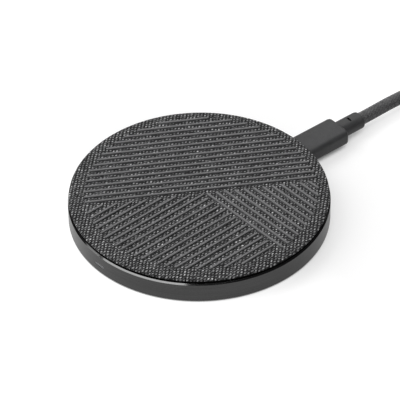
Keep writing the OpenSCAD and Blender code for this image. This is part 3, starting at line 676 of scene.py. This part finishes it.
class PAD_OT_stage(bpy.types.Operator):
    """Sets up the camera, the pale floor and the soft studio light"""
    bl_idname = "pad.stage"
    bl_label = "Studio"

    def execute(self, context):
        scene = context.scene
        scene.view_settings.view_transform = "Standard"
        self.camera(scene)
        self.floor()
        for name, place, size, power, roll in LAMPS:
            self.lamp(scene, name, studio_place(*place), size, power, roll)
        self.world(scene)
        return {"FINISHED"}

    def camera(self, scene):
        """A long lens that looks down on the pad from its front."""
        target = studio_place(0.3 * MM, 0.0, RING_LOW[2])
        ahead = CAMERA_AWAY * math.cos(CAMERA_RISE) - Vector((0, 0, math.sin(CAMERA_RISE)))
        up = CAMERA_RIGHT.cross(ahead)
        facing = Matrix((CAMERA_RIGHT, up, -ahead)).transposed().to_4x4()
        camera = bpy.data.objects.new("Camera", bpy.data.cameras.new("Camera"))
        camera.data.sensor_width = CAMERA_SENSOR
        camera.data.lens = CAMERA_LENS
        camera.data.clip_start = 0.05
        # tilted up a little, so that the pad sits below the middle of the frame, and turned level
        tilt = Matrix.Rotation(CAMERA_TILT, 4, "X")
        level = Matrix.Rotation(CAMERA_ROLL, 4, "Z")
        camera.matrix_world = Matrix.Translation(target - ahead * CAMERA_DISTANCE) @ facing @ tilt @ level
        scene.collection.objects.link(camera)
        scene.camera = camera

    def floor(self):
        """White paper that shows nearly white and keeps the soft shadow, cast partly by the lamps and partly
        painted into its glow.
        """
        material, tree, shader = new_material("Matte white paper", 0.95, Specular_IOR_Level=0.0)
        path = add(tree, "ShaderNodeLightPath")
        seen = ("MAXIMUM", path.outputs["Is Camera Ray"], path.outputs["Is Glossy Ray"])
        seen = add(tree, ("MAXIMUM", seen, path.outputs["Is Transmission Ray"]))
        # the eye and the metal see a greyer paper with a glow of its own, and the pad is lit by a white one
        paper = add(tree, "ShaderNodeMix", {"Factor": seen, "A": linear("#f2f2f2"), "B": linear("#b8b8b8")},
                    data_type="RGBA")
        tree.links.new(paper.outputs["Result"], shader.inputs["Base Color"])
        # painted shadow: the glow is dimmest close by on the right and at the back, and a painted contact
        # shadow leaves no glow where something hangs just above it
        point = object_point(tree, PAPER_TURN)
        place = add(tree, "ShaderNodeSeparateXYZ", {0: point})
        front = add(tree, "ShaderNodeMapRange", {
            "Value": place.outputs["X"], "From Min": -10 * MM, "From Max": 35 * MM},
            interpolation_type="SMOOTHSTEP")
        reach = add(tree, "ShaderNodeVectorMath", {0: point}, operation="LENGTH")
        far = add(tree, "ShaderNodeMapRange", {
            "Value": reach.outputs["Value"], "From Min": 55 * MM, "From Max": 120 * MM},
            interpolation_type="SMOOTHSTEP")
        level = ("ADD", ("MULTIPLY", ("MAXIMUM", front, far), PAPER_GAIN), PAPER_DIM)
        cover = add(tree, "ShaderNodeAmbientOcclusion", {"Distance": 6 * MM})
        open_sky = add(tree, "ShaderNodeMapRange", {
            "Value": cover.outputs["AO"], "From Min": 0.1, "From Max": 0.5})
        # the glow, dimmed by both painted shadows, shows only to the eye and in the metal
        strength = ("MULTIPLY", seen, ("MULTIPLY", level, open_sky))
        glow = add(tree, "ShaderNodeEmission", {"Strength": strength})
        surface = tree.nodes["Material Output"].inputs["Surface"]
        add(tree, "ShaderNodeAddShader", {0: shader, 1: glow}, to=surface)
        corners = [(x * PAPER_SIZE, y * PAPER_SIZE, 0) for x, y in ((-1, -1), (1, -1), (1, 1), (-1, 1))]
        floor = mesh_piece("Floor", corners, [(0, 1, 2, 3)], [material])

    def lamp(self, scene, name, place, size, power, roll):
        """A softbox or a card of light that faces the pad, rolled about its own axis."""
        lamp = bpy.data.lights.new(name, "AREA")
        lamp.shape = "RECTANGLE"
        lamp.size, lamp.size_y = size
        lamp.energy = power
        holder = bpy.data.objects.new(name, lamp)
        facing = (-place).to_track_quat("-Z", "Y").to_matrix().to_4x4()
        holder.matrix_world = Matrix.Translation(place) @ facing @ Matrix.Rotation(math.radians(roll), 4, "Z")
        scene.collection.objects.link(holder)

    def world(self, scene):
        """A dark studio with one pale patch overhead, leaning back and to the left."""
        world = bpy.data.worlds.new("Studio")
        scene.world = world
        world.use_nodes = True
        tree = world.node_tree
        look = add(tree, "ShaderNodeTexCoord").outputs["Generated"]
        patch = studio_place(-0.3, 0.35, 0.89).normalized()
        near = add(tree, "ShaderNodeVectorMath", {0: look, 1: tuple(patch)}, operation="DOT_PRODUCT")
        glow = ("MAXIMUM", ("SUBTRACT", near.outputs["Value"], 0.7), 0.0)
        background = tree.nodes["Background"]
        background.inputs["Color"].default_value = (1, 1, 1, 1)
        add(tree, ("ADD", ("MULTIPLY", glow, 1.6), 0.015), to=background.inputs["Strength"])


# The strap: half its width, its thickness, and the round of its corners and of its soft edges
TAPE_HALF_WIDTH, TAPE_THICK = 5.0 * MM, 0.6 * MM
TAPE_CORNER, TAPE_SOFT = 2.6 * MM, 0.2 * MM


class PAD_OT_cord(bpy.types.Operator):
    """Makes the braided cord, wound up behind the pad, and the strap that holds its coil"""
    bl_idname = "pad.cord"
    bl_label = "Braided cord"

    def execute(self, context):
        sizes = context.scene.cord_sizes
        path = cord_route()
        cord = tube("braided_cord", path, sizes.diameter / 2, sizes.sides, braided_polyester())
        ride(cord, "lead", hides=("cord_run", "cord_coil", "cord_tail"))
        strap = self.strap()
        ride(strap, "lead", hides=("cord_tie",))
        pieces = [strap] + far_plug(context)
        return {"FINISHED"}

    def strap(self):
        """A soft tape wrapped once round the turns, with its edges rounded off."""
        low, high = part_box("cord_tie")
        cx, cy, cz = ((a + b) / 2 for a, b in zip(low, high))
        half_y, half_z = (high[1] - low[1]) / 2, (high[2] - low[2]) / 2
        outer = soft_rectangle(half_y, half_z, TAPE_CORNER, 8)
        inner = soft_rectangle(half_y - TAPE_THICK, half_z - TAPE_THICK, TAPE_CORNER - TAPE_THICK, 8)
        count = len(outer)
        vertices, faces = [], []
        # four loops across the tape, the two at its edges drawn in by the rounding
        for x, slim in ((-1, TAPE_SOFT), (-1, 0.0), (1, 0.0), (1, TAPE_SOFT)):
            along = cx + x * (TAPE_HALF_WIDTH if slim else TAPE_HALF_WIDTH - TAPE_SOFT)
            for outline, drawn in ((outer, -slim), (inner, slim)):
                vertices += [(along, cy + y * (1 + drawn / half_y), cz + z * (1 + drawn / half_z))
                             for y, z in outline]
        for s in range(3):
            for k in range(count):
                n = (k + 1) % count
                for base in (0, count):
                    a, b = s * 2 * count + base, (s + 1) * 2 * count + base
                    faces.append((a + k, a + n, b + n, b + k))
        for s in (0, 3):
            for k in range(count):
                n = (k + 1) % count
                a = s * 2 * count
                faces.append((a + k, a + n, a + count + n, a + count + k))
        # near black and furry, without a highlight
        material = grained("Hook-and-loop tape, woven nylon", "#0f0f11", "#232326", 0.3, 0.12, 0.95,
                           spread=0.04)
        return mesh_piece("cord_strap", vertices, faces, [material], 40.0)


def far_plug(context):
    """The moulded grip and strain relief of the plug on the cord's far end."""
    grip_finish = grip_material(context)
    grip = moulded_grip("far_plug_grip", FAR_GRIP_LOW, FAR_GRIP_HIGH, 0.8, grip_finish)
    ride(grip, "lead", hides=("far_overmould",))
    relief = sleeve("far_plug_relief", FAR_SLEEVE_LOW, FAR_SLEEVE_HIGH, grip_finish, slot_shadow())
    ride(relief, "lead", hides=("far_strain_relief",))
    return [grip, relief]


def grip_material(context):
    """Matte thermoplastic elastomer with a fine spark-eroded grain."""
    name = "Matte TPE, spark-eroded grain"
    found = bpy.data.materials.get(name)
    if found:
        return found
    colours = context.scene.pad_colours
    return grained(name, tuple(colours.grip_dark), tuple(colours.grip_light), 0.35, 0.03, 0.62, spread=0.06)


def slot_shadow():
    """Painted shade for the inside of a cut in elastomer: a near-black finish that stands for the shade in
    the slot.
    """
    name = "TPE, cut face"
    found = bpy.data.materials.get(name)
    return found or grained(name, "#08080a", "#101012", 0.4, 0.02, 0.8)


class PAD_OT_plug(bpy.types.Operator):
    """Makes the grip and the strain relief of the plug at the pad"""
    bl_idname = "pad.plug"
    bl_label = "Plug"

    def execute(self, context):
        finish = grip_material(context)
        grip = moulded_grip("plug_grip", GRIP_LOW, GRIP_HIGH, 0.6, finish)
        ride(grip, "lead", hides=("plug_overmould",))
        relief = sleeve("plug_relief", SLEEVE_LOW, SLEEVE_HIGH, finish, slot_shadow())
        ride(relief, "lead", hides=("strain_relief",))
        return {"FINISHED"}


# The ring's openings: the port at the socket's mouth, and the lamp window's slot round the light pipe
PORT_SIZE, PORT_CORNER = (9.44 * MM, 8 * MM, 3.66 * MM), 1.8 * MM
WINDOW_LENGTH, WINDOW_GAP = 5.1 * MM, 0.05 * MM


class PAD_OT_ring(bpy.types.Operator):
    """Turns the side ring and cuts its port and lamp window"""
    bl_idname = "pad.ring"
    bl_label = "Side ring"

    def execute(self, context):
        sizes, colours = context.scene.pad_sizes, context.scene.pad_colours
        r = max(RING_HIGH[0], RING_HIGH[1]) / MM
        z0, z1 = RING_LOW[2] / MM, RING_HIGH[2] / MM
        bevel = sizes.bevel / MM
        # the foot's chamfer, the wall's inner face, and the rebates for the foot below and the plate above
        foot, inside, rebate = 0.3, r - 2.1, r - 1.3
        floor, lip, shelf = z0 + 0.6, r - bevel - 0.1, z1 - bevel - 0.5
        profile = [(inside, floor), (rebate, floor), (rebate, z0), (r - foot, z0), (r, z0 + foot),
                   (r, z1 - bevel), (r - bevel, z1), (lip, z1), (lip, shelf), (inside, shelf),
                   (inside, floor)]
        satin = gunmetal_ring(tuple(colours.ring_dark), tuple(colours.ring_light))
        ring = turned_piece("turned_ring", profile, [satin, polished_bevel()], sizes.segments)
        self.cut_window(ring, r * MM)
        cut_box(ring, (0, r * MM, PORT_Z), PORT_SIZE, 0.0, PORT_CORNER)
        clean(ring.data)
        for polygon in ring.data.polygons:
            tilted = 0.5 < polygon.normal.z < 0.9 and polygon.center.z > (z1 - bevel) * MM
            polygon.material_index = 1 if tilted else 0
        ride(ring, "pad", hides=("side_ring",))
        return {"FINISHED"}

    def cut_window(self, ring, radius):
        """Cuts the lamp window's slot, round at both ends, where the light pipe stands."""
        middle = Vector([(low + high) / 2 for low, high in zip(PIPE_LOW, PIPE_HIGH)])
        angle = math.atan2(middle.y, middle.x)
        high = PIPE_HIGH[2] - PIPE_LOW[2] + 2 * WINDOW_GAP
        place = (math.cos(angle) * radius, math.sin(angle) * radius, middle.z)
        cut_box(ring, place, (WINDOW_LENGTH, 6 * MM, high), angle - math.pi / 2, high / 2)


class PAD_OT_fabric(bpy.types.Operator):
    """Turns the woven cover with its rolled edge"""
    bl_idname = "pad.fabric"
    bl_label = "Woven cover"

    def execute(self, context):
        sizes = context.scene.pad_sizes
        # the rolled edge keeps a little inside the solid's reach
        r, z0, z1 = FABRIC_HIGH[1] / MM - 0.2, FABRIC_LOW[2] / MM, FABRIC_HIGH[2] / MM
        roll = sizes.fabric_roll / MM
        rim, seat = PLATE_HIGH[1] / MM, PLATE_HIGH[2] / MM
        # the crown is flat under the ribs, and falls a little beyond them
        field, inner = (RING_HIGH[1] - sizes.rib_border + sizes.field_shift) / MM + 0.4, 22.0
        profile = [(0.0, seat), (rim, seat), (rim, z0)]
        profile += rounded(r - roll, z0 + roll, roll, -90, 90, 12)
        profile += [(field + 1.5, z1 - 0.05), (field, z1), (inner, z1), (0.0, z1)]
        cover = turned_piece("woven_cover", profile, [woven_polyester()], sizes.segments, 50.0)
        ride(cover, "pad", hides=("fabric_cover",))
        return {"FINISHED"}


def rib_tree():
    """One field of parallel ribs along X, each cut to its own length, then turned to its direction."""
    tree, given, end = node_group("Grip rib field", (
        ("Seed", "Geometry", None), ("Count", "Int", 15), ("First rib", "Float", 0.0),
        ("Pitch", "Float", 0.003), ("Field radius", "Float", 0.044),
        ("Shift along", "Float", 0.0), ("Shift across", "Float", 0.0),
        ("Low slope", "Float", 0.0), ("Low limit", "Float", -1.0),
        ("High slope", "Float", 0.0), ("High limit", "Float", 1.0), ("High cap", "Float", 1.0),
        ("Rib width", "Float", 0.001), ("Rib height", "Float", 0.0006), ("Base", "Float", 0.0105),
        ("Direction", "Float", 0.0), ("Finish", "Material", None)))
    # one point for each rib, a pitch apart, with where the rib starts and stops
    start = add(tree, "ShaderNodeCombineXYZ", {1: given["First rib"]})
    pitch = add(tree, "ShaderNodeCombineXYZ", {1: given["Pitch"]})
    marked = add(tree, "GeometryNodeMeshLine", {
        "Count": given["Count"], "Start Location": start, "Offset": pitch})
    off = add(tree, "ShaderNodeSeparateXYZ", {0: add(tree, "GeometryNodeInputPosition")}).outputs["Y"]
    from_middle = ("ABSOLUTE", ("SUBTRACT", off, given["Shift across"]))
    square = ("SUBTRACT", ("POWER", given["Field radius"], 2.0), ("POWER", from_middle, 2.0))
    half = add(tree, ("SQRT", ("MAXIMUM", square, 0.0)))
    low_line = ("ADD", ("MULTIPLY", off, given["Low slope"]), given["Low limit"])
    high_line = ("ADD", ("MULTIPLY", off, given["High slope"]), given["High limit"])
    low = add(tree, ("MAXIMUM", ("SUBTRACT", given["Shift along"], half), low_line))
    high = ("MINIMUM", ("ADD", given["Shift along"], half), high_line)
    high = add(tree, ("MINIMUM", high, given["High cap"]))
    kept = ("GREATER_THAN", ("SUBTRACT", high, low), ("MULTIPLY", given["Rib width"], 1.5))
    for label, value in (("rib_low", low), ("rib_high", high)):
        marked = add(tree, "GeometryNodeStoreNamedAttribute", {
            "Geometry": marked, "Name": label, "Value": value}, data_type="FLOAT", domain="POINT")
    # a button: a ball squared off into a soft-edged slab, a tenth as deep below its middle as above
    ball = add(tree, "GeometryNodeMeshUVSphere", {"Segments": 24, "Rings": 12, "Radius": 1.0})
    at = add(tree, "ShaderNodeSeparateXYZ", {0: add(tree, "GeometryNodeInputPosition")})
    squares = [("POWER", ("ABSOLUTE", at.outputs[axis]), 2.0) for axis in ("X", "Y")]
    out = ("SQRT", ("ADD", squares[0], squares[1]))
    swell = add(tree, ("DIVIDE", ("MULTIPLY", given["Rib width"], 0.5), ("SQRT", ("MAXIMUM", out, 0.0001))))
    lift = ("MULTIPLY", ("SQRT", ("ABSOLUTE", at.outputs["Z"])), given["Rib height"])
    below = ("MULTIPLY", ("LESS_THAN", at.outputs["Z"], 0.0), -1.1)
    shape = add(tree, "ShaderNodeCombineXYZ", {
        0: ("MULTIPLY", at.outputs["X"], swell), 1: ("MULTIPLY", at.outputs["Y"], swell),
        2: ("MULTIPLY", lift, ("ADD", below, 1.0))})
    button = add(tree, "GeometryNodeSetPosition", {"Geometry": ball, "Position": shape})
    # the button's two halves are marked, and then drawn apart to the rib's two ends
    side = add(tree, "ShaderNodeSeparateXYZ", {0: add(tree, "GeometryNodeInputPosition")}).outputs["X"]
    sided = add(tree, "GeometryNodeStoreNamedAttribute", {
        "Geometry": button, "Name": "rib_side", "Value": ("GREATER_THAN", side, 1e-7)},
        data_type="FLOAT", domain="POINT")
    placed = add(tree, "GeometryNodeInstanceOnPoints", {
        "Points": marked, "Selection": kept, "Instance": sided})
    real = add(tree, "GeometryNodeRealizeInstances", {0: placed})
    labels = ("rib_low", "rib_high", "rib_side")
    low, high, side = (add(tree, "GeometryNodeInputNamedAttribute", {"Name": label}, data_type="FLOAT")
                       for label in labels)
    end_round = add(tree, ("MULTIPLY", given["Rib width"], 0.5))
    to_high = ("MULTIPLY", side, ("SUBTRACT", high, end_round))
    to_low = ("MULTIPLY", ("SUBTRACT", 1.0, side), ("ADD", low, end_round))
    shift = add(tree, "ShaderNodeCombineXYZ", {0: ("ADD", to_high, to_low), 2: given["Base"]})
    bare = add(tree, "GeometryNodeSetPosition", {"Geometry": real, "Offset": shift})
    for label in labels:
        bare = add(tree, "GeometryNodeRemoveAttribute", {"Geometry": bare, "Name": label})
    direction = add(tree, "ShaderNodeCombineXYZ", {2: given["Direction"]})
    turned = add(tree, "GeometryNodeTransform", {"Geometry": bare, "Rotation": direction})
    whole = add(tree, "GeometryNodeRealizeInstances", {0: turned})
    add(tree, "GeometryNodeSetMaterial", {"Geometry": whole, "Material": given["Finish"]}, to=end.inputs[0])
    return tree


# Where each field's first rib lies, across its own direction: the second field's counts in pitches
LARGE_START, SECOND_START, THIRD_START = 1.65 * MM, -13.66, 1.8 * MM
# The plain strip between the large field and the two others, and how far the second field's ribs may reach
STRIP, SECOND_CAP = 2.5 * MM, 0.4 * MM


class PAD_OT_ribs(bpy.types.Operator):
    """Lays the three fields of soft grip ribs on the cover"""
    bl_idname = "pad.ribs"
    bl_label = "Grip ribs"

    def execute(self, context):
        sizes, colours = context.scene.pad_sizes, context.scene.pad_colours
        # printed silicone has a soft satin face and the faintest orange peel
        finish = grained("Printed silicone, satin", tuple(colours.ribs_dark), tuple(colours.ribs_light),
                         0.5, 0.008, 0.5, spread=0.05)
        pitch, large, second = sizes.rib_pitch, sizes.large_angle, sizes.second_angle
        third = second - math.pi / 2
        fields = (
            ("ribs_large_field", {"Count": 16, "First rib": LARGE_START, "Direction": large}),
            ("ribs_second_field", {"Count": 22, "First rib": SECOND_START * pitch, "Direction": second,
                                   "High cap": SECOND_CAP, **self.strip_line("High", second - large)}),
            ("ribs_third_field", {"Count": 14, "First rib": THIRD_START, "Direction": third,
                                  **self.strip_line("Low", third - large)}))
        shared = {"Pitch": pitch, "Field radius": RING_HIGH[1] - sizes.rib_border,
                  "Rib width": sizes.rib_width, "Rib height": RIB_HIGH[2] - RIB_LOW[2],
                  "Base": RIB_LOW[2], "Finish": finish}
        tree = rib_tree()
        for name, own in fields:
            holder = place_mesh(name + "_seed", bpy.data.meshes.new(name + "_seed"))
            modifier = holder.modifiers.new("Ribs", "NODES")
            modifier.node_group = tree
            shift = {"Shift along": sizes.field_shift * math.sin(own["Direction"]),
                     "Shift across": sizes.field_shift * math.cos(own["Direction"])}
            for label, value in {**shared, **shift, **own}.items():
                set_input(modifier, label, value)
            piece = baked(holder, name, [finish])
            clean(piece.data, 60.0)
            ride(piece, "pad", hides=("grip_ribs",))
        return {"FINISHED"}

    def strip_line(self, end, turn):
        """The line, a plain strip off the large field, on which another field's ribs stop at one end."""
        return {end + " slope": -math.cos(turn) / math.sin(turn),
                end + " limit": (LARGE_START - STRIP) / math.sin(turn)}


# What the carried-over parts are made of. Each row: the finish, its darkest and lightest grain, the grain's
# width and relief in mm, its roughness, other settings, and the parts.
PART_FINISHES = (
    # even black with a dull shine, as a textured mould leaves it
    ("Black ABS, fine moulded grain", "#0b0b0d", "#17171a", 0.3, 0.02, 0.55, {}, ("base_cover", "coil_tray")),
    # black plastic, darkened further and made duller as painted shade, so that the rim reads as a dark gap
    # round the cloth
    ("Black ABS, darkened as painted rim shade", "#020202", "#060606", 0.3, 0.02, 0.9, {"Specular_IOR_Level": 0.05},
     ("top_plate",)),
    # dark rubber with hardly a highlight
    ("Moulded silicone foot, matte", "#1b1b1d", "#28282b", 0.6, 0.03, 0.75, {}, ("base_pad",)),
    # thin bright plating, a little clouded
    ("Zinc-plated steel", "#a9abae", "#c9cacb", 0.5, 0.01, 0.28, {"metallic": 1.0}, ("case_screws",)),
    # grey plate with long streaks from the rolls
    ("Rolled steel, pickled", "#7b7d80", "#989a9d", 1.2, 0.03, 0.42,
     {"metallic": 1.0, "stretch": (1, 0.06, 1)}, ("base_weight",)),
    # hard dark ceramic with a low sheen
    ("Sintered ferrite", "#262527", "#3a393b", 0.5, 0.03, 0.6, {}, ("ferrite_shield",)),
    # open cells that break the light up into dots
    ("Open-cell polyurethane foam", "#4a4c4e", "#6c6e70", 0.35, 0.3, 0.98, {}, ("foam_pad",)),
    # a glossy amber drop
    ("Epoxy bead, glossy", "#b59a5a", "#d6bf83", 0.5, 0.02, 0.2, {}, ("thermistor",)),
    # charcoal with a faint sheen, almost without grain
    ("Moulded chip epoxy", "#121315", "#202124", 0.15, 0.01, 0.5, {},
     ("controller_chip", "power_switches", "socket_tongue", "plug_insert")),
    # dark grey, grainy as pressed powder is
    ("Pressed iron powder", "#2c2d2f", "#47484b", 0.2, 0.03, 0.7, {}, ("power_inductor",)),
    # tan, with the soft gloss of fired clay
    ("Fired ceramic, tinned ends", "#8b6840", "#b08b5d", 0.4, 0.01, 0.4, {},
     ("resonant_capacitors", "small_passives")),
    # bright and slightly warm, with faint lines along the draw
    ("Nickel-plated drawn steel", "#b3b3b0", "#cfcfcc", 0.6, 0.008, 0.24,
     {"metallic": 1.0, "stretch": (1, 0.08, 1)}, ("usb_socket", "plug_shell", "far_shell")),
    # smooth warm white
    ("Lamp package, white moulding", "#dedbcf", "#f4f1e6", 0.3, 0.005, 0.35, {}, ("status_led",)),
    # a grey haze that lets a little light through
    ("Frosted acrylic light pipe", "#6c6d70", "#808184", 0.4, 0.01, 0.35, {"Transmission_Weight": 0.15},
     ("light_pipe",)),
    # clean white with a soft shine
    ("White moulded nylon", "#d9d9d6", "#efefec", 0.3, 0.01, 0.4, {}, ("far_tongue",)))


class PAD_OT_finishes(bpy.types.Operator):
    """Gives each carried-over part its own finish"""
    bl_idname = "pad.finishes"
    bl_label = "Finishes"

    def execute(self, context):
        for name, dark, light, grain_mm, depth_mm, roughness, others, parts in PART_FINISHES:
            self.give(grained(name, dark, light, grain_mm, depth_mm, roughness, **others), parts)
        self.give(self.litz(), ("charging_coil", "coil_leads"))
        self.give(self.solder_mask(), ("circuit_board",))
        return {"FINISHED"}

    def give(self, material, parts):
        """Gives the named parts one material."""
        for part in parts:
            dress(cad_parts[part].data, [material])

    def litz(self):
        """Lacquered copper: strands wound round the middle show as fine rings, painted bright on their crowns
        and dark between them as painted shade.
        """
        material, tree, shader = new_material("Enamelled copper litz", 0.3, 1.0)
        parts = add(tree, "ShaderNodeSeparateXYZ", {0: object_point(tree)})
        squares = [("POWER", ("ABSOLUTE", parts.outputs[axis]), 2.0) for axis in ("X", "Y")]
        out = ("SQRT", ("ADD", squares[0], squares[1]))
        strand = ("SINE", ("MULTIPLY", out, 2 * math.pi / (0.2 * MM)))
        height = add(tree, ("ADD", ("MULTIPLY", strand, 0.5), 0.5))
        # the colour follows the strands' height: painted highlight on the crowns, painted shade between them
        add(tree, "ShaderNodeValToRGB", {"Fac": height}, stops=((0.0, "#6e3418"), (1.0, "#c87a45")),
            to=shader.inputs["Base Color"])
        add(tree, "ShaderNodeBump", {"Height": height, "Distance": 0.05 * MM}, to=shader.inputs["Normal"])
        return material

    def solder_mask(self):
        """Green mask over copper tracks, which stand a little proud and lighter."""
        material, tree, shader = new_material("Green solder mask on laminate", 0.3)
        tracks = add(tree, "ShaderNodeTexBrick", {
            "Vector": object_point(tree), "Scale": 1 / (4 * MM), "Mortar Size": 0.05,
            "Color1": linear("#0f4a2b"), "Color2": linear("#14532f"), "Mortar": linear("#2b7a4c")},
            to=shader.inputs["Base Color"])
        add(tree, "ShaderNodeBump", {"Height": tracks.outputs["Fac"], "Distance": 0.04 * MM},
            to=shader.inputs["Normal"])
        return material


class PAD_PT_panel(bpy.types.Panel):
    """Lists the pieces and their sizes"""
    bl_idname = "PAD_PT_panel"
    bl_label = "Charging pad"
    bl_space_type = "VIEW_3D"
    bl_region_type = "UI"
    bl_category = "Charging pad"

    def draw(self, context):
        for step in STEPS:
            self.layout.operator(step.bl_idname)
        for group in (context.scene.pad_sizes, context.scene.cord_sizes, context.scene.pad_colours):
            for key in group.__annotations__:
                self.layout.prop(group, key)


STEPS = (PAD_OT_stage, PAD_OT_cord, PAD_OT_plug, PAD_OT_ring, PAD_OT_fabric, PAD_OT_ribs, PAD_OT_finishes)
CLASSES = (PadSizes, CordSizes, PadColours) + STEPS + (PAD_PT_panel,)


def register():
    for cls in CLASSES:
        bpy.utils.register_class(cls)
    bpy.types.Scene.pad_sizes = PointerProperty(type=PadSizes)
    bpy.types.Scene.cord_sizes = PointerProperty(type=CordSizes)
    bpy.types.Scene.pad_colours = PointerProperty(type=PadColours)


def unregister():
    del bpy.types.Scene.pad_colours
    del bpy.types.Scene.cord_sizes
    del bpy.types.Scene.pad_sizes
    for cls in reversed(CLASSES):
        bpy.utils.unregister_class(cls)


def main():
    register()
    bpy.ops.pad.stage()
    bpy.ops.pad.cord()
    bpy.ops.pad.plug()
    bpy.ops.pad.ring()
    bpy.ops.pad.fabric()
    bpy.ops.pad.ribs()
    bpy.ops.pad.finishes()


if __name__ == "__main__":
    main()
